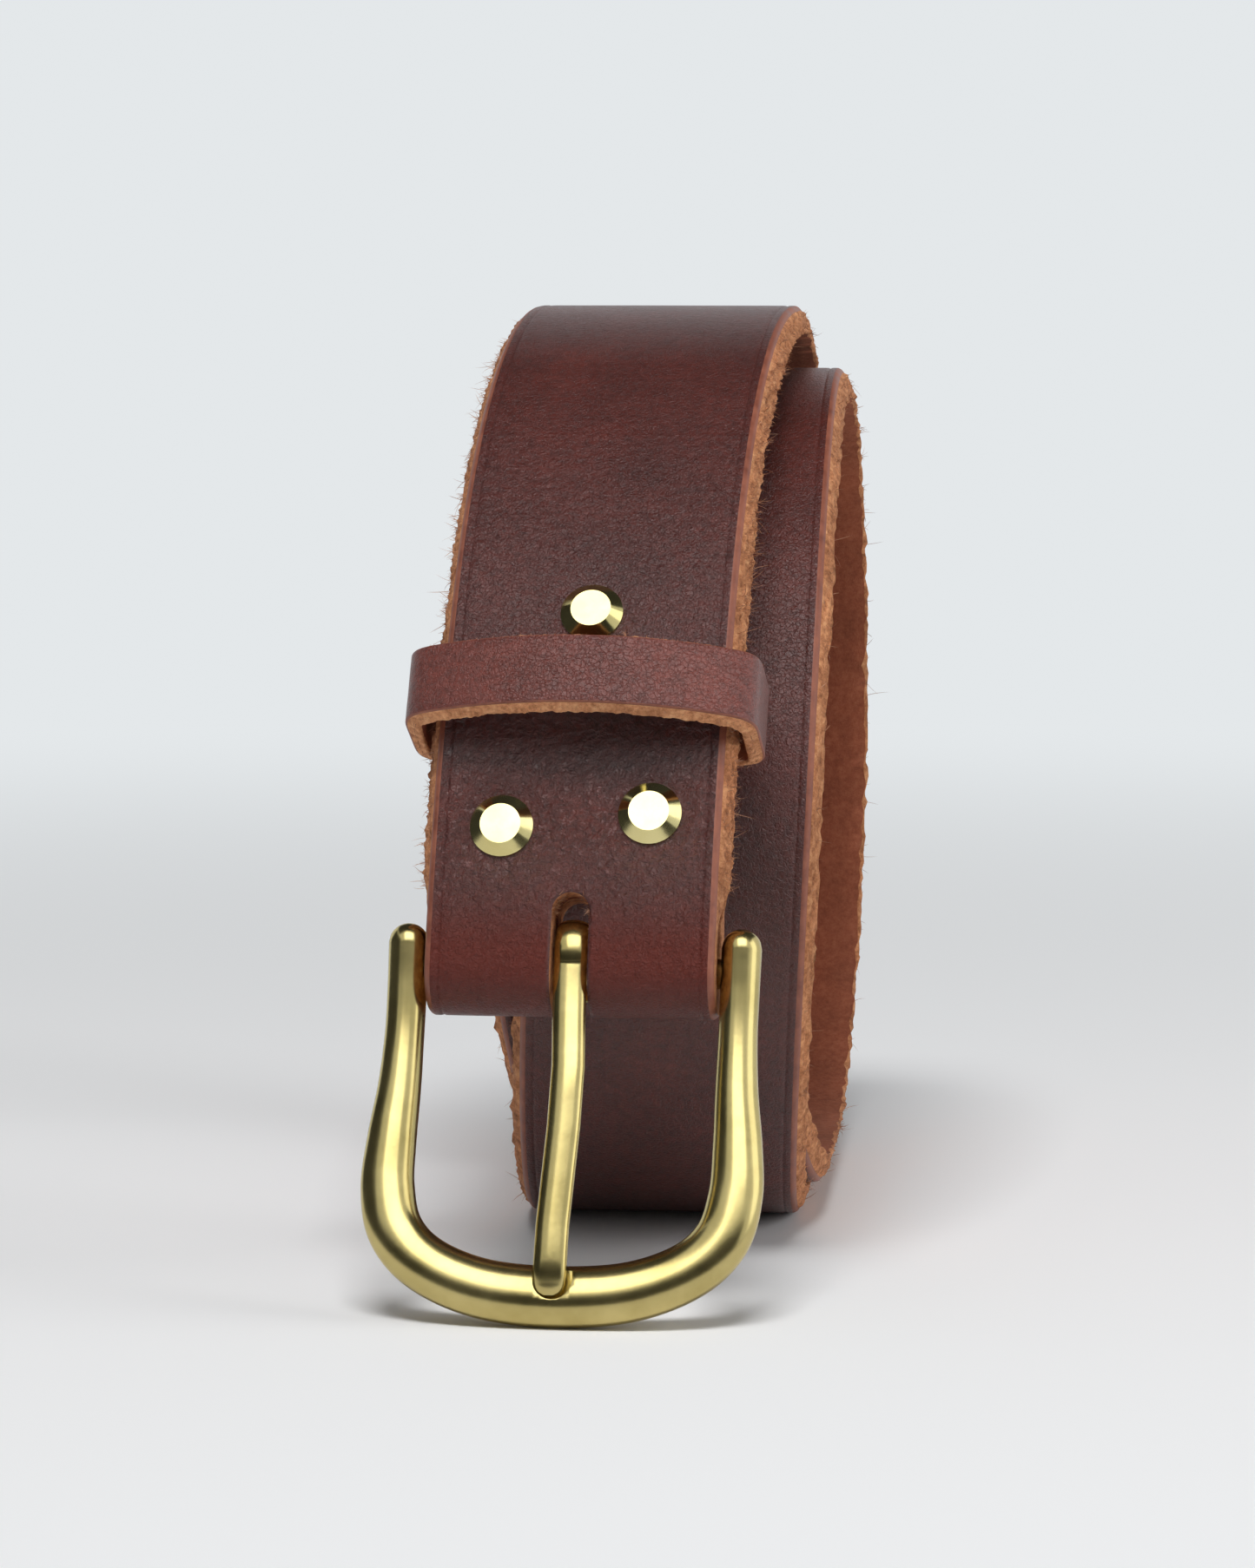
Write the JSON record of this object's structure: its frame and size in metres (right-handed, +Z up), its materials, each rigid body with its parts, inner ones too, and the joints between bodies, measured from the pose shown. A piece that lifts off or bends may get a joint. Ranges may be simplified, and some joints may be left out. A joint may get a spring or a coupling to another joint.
{
  "type": "leather belt",
  "caption": "Rolled leather belt on edge, its buckle end brought over the front: heel-bar buckle with prong, domed keeper loop and capped rivets.",
  "frame": {"origin": "middle of the underside of the whole belt as it stands, on the surface it stands on", "axes": "+X along the buckle's heel bar, across the strap; -Y is the front, where the buckle hangs; +Z up; Y is the longest way and X the shortest"},
  "size_m": [0.0554, 0.1818, 0.1295],
  "materials": {
    "strap_leather": "satin grain side, raw flesh side and edges",
    "keeper_leather": "satin grain side, raw edges",
    "cast_brass": "satin polished",
    "rivet_brass": "polished",
    "steel_wire": "drawn wire"
  },
  "bodies": {
    "strap": {"strap": "strap_leather", "rivet_lower_left_front_cap": "rivet_brass", "rivet_lower_left_socket": "rivet_brass", "rivet_lower_left_post": "rivet_brass", "rivet_lower_left_back_cap": "rivet_brass", "rivet_lower_right_front_cap": "rivet_brass", "rivet_lower_right_socket": "rivet_brass", "rivet_lower_right_post": "rivet_brass", "rivet_lower_right_back_cap": "rivet_brass", "rivet_upper_front_cap": "rivet_brass", "rivet_upper_socket": "rivet_brass", "rivet_upper_post": "rivet_brass", "rivet_upper_back_cap": "rivet_brass"},
    "buckle": {"buckle_frame": "cast_brass"},
    "prong": {"prong": "cast_brass"},
    "keeper": {"keeper_loop": "keeper_leather", "keeper_staple": "steel_wire"}
  },
  "joints": [
    {"name": "buckle_hinge", "type": "hinge", "parent": "strap", "child": "buckle", "pos_m": [-0.00124, -0.0699, 0.04394], "axis": [-1, 0, 0], "range_deg": [-65, 26]},
    {"name": "prong_hinge", "type": "hinge", "parent": "buckle", "child": "prong", "pos_m": [-0.00124, -0.0699, 0.04394], "axis": [-1, 0, 0], "range_deg": [0, 78]},
    {"name": "keeper_slide", "type": "slide", "parent": "strap", "child": "keeper", "axis": [0, 0.4783, 0.8782], "range_m": [-0.006, 0.0022]}
  ]
}
